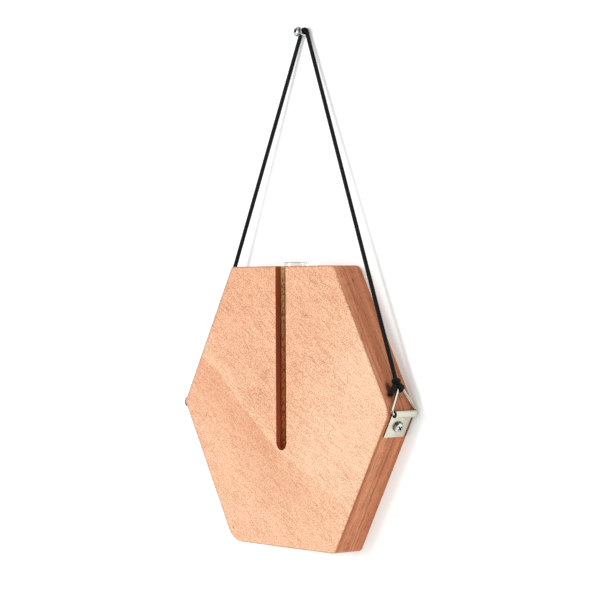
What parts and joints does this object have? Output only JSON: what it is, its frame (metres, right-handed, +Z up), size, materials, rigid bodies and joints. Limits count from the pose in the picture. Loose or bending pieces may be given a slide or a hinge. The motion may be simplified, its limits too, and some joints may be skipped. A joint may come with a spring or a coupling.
{
  "type": "hanging wall vase",
  "caption": "Hexagonal wooden wall vase: a glass test tube stands in a bore behind an open front slot, and a cord tied to strap-hanger rings hangs over a wall screw.",
  "frame": {"origin": "where the wall screw's axis meets the wall", "axes": "+Z up, +Y into the wall (the block's back lies in Y = 0, its front faces -Y), +X to the viewer's right"},
  "size_m": [0.2082, 0.0443, 0.3218],
  "materials": {
    "wood": "fine-sanded and oiled",
    "glass": "clear, fire-polished rim",
    "nickel": "nickel plated, satin",
    "screw_steel": "zinc plated, bright",
    "cord": "braided, matt black"
  },
  "bodies": {
    "wall_fixing": {"wall_screw": "screw_steel"},
    "vase": {"wood_block": "wood", "left_strap": "nickel", "left_strap_screw": "screw_steel", "left_cord": "cord", "right_strap": "nickel", "right_strap_screw": "screw_steel", "right_cord": "cord"},
    "tube": {"glass_tube": "glass"},
    "left_hanger_ring": {"left_ring": "nickel", "left_knot": "cord"},
    "right_hanger_ring": {"right_ring": "nickel", "right_knot": "cord"}
  },
  "joints": [
    {"name": "swing", "type": "hinge", "parent": "wall_fixing", "child": "vase", "pos_m": [0, -0.0022, 0.00047], "axis": [0, 1, 0], "range_deg": [-20, 20]},
    {"name": "tube_lift", "type": "slide", "parent": "vase", "child": "tube", "axis": [0, 0, 1], "range_m": [0, 0.128]},
    {"name": "left_ring_turn", "type": "hinge", "parent": "vase", "child": "left_hanger_ring", "pos_m": [-0.10177, -0.011, -0.23118], "axis": [0, -1, 0], "range_deg": [0, 60]},
    {"name": "right_ring_turn", "type": "hinge", "parent": "vase", "child": "right_hanger_ring", "pos_m": [0.10177, -0.011, -0.23118], "axis": [0, 1, 0], "range_deg": [0, 60]}
  ]
}
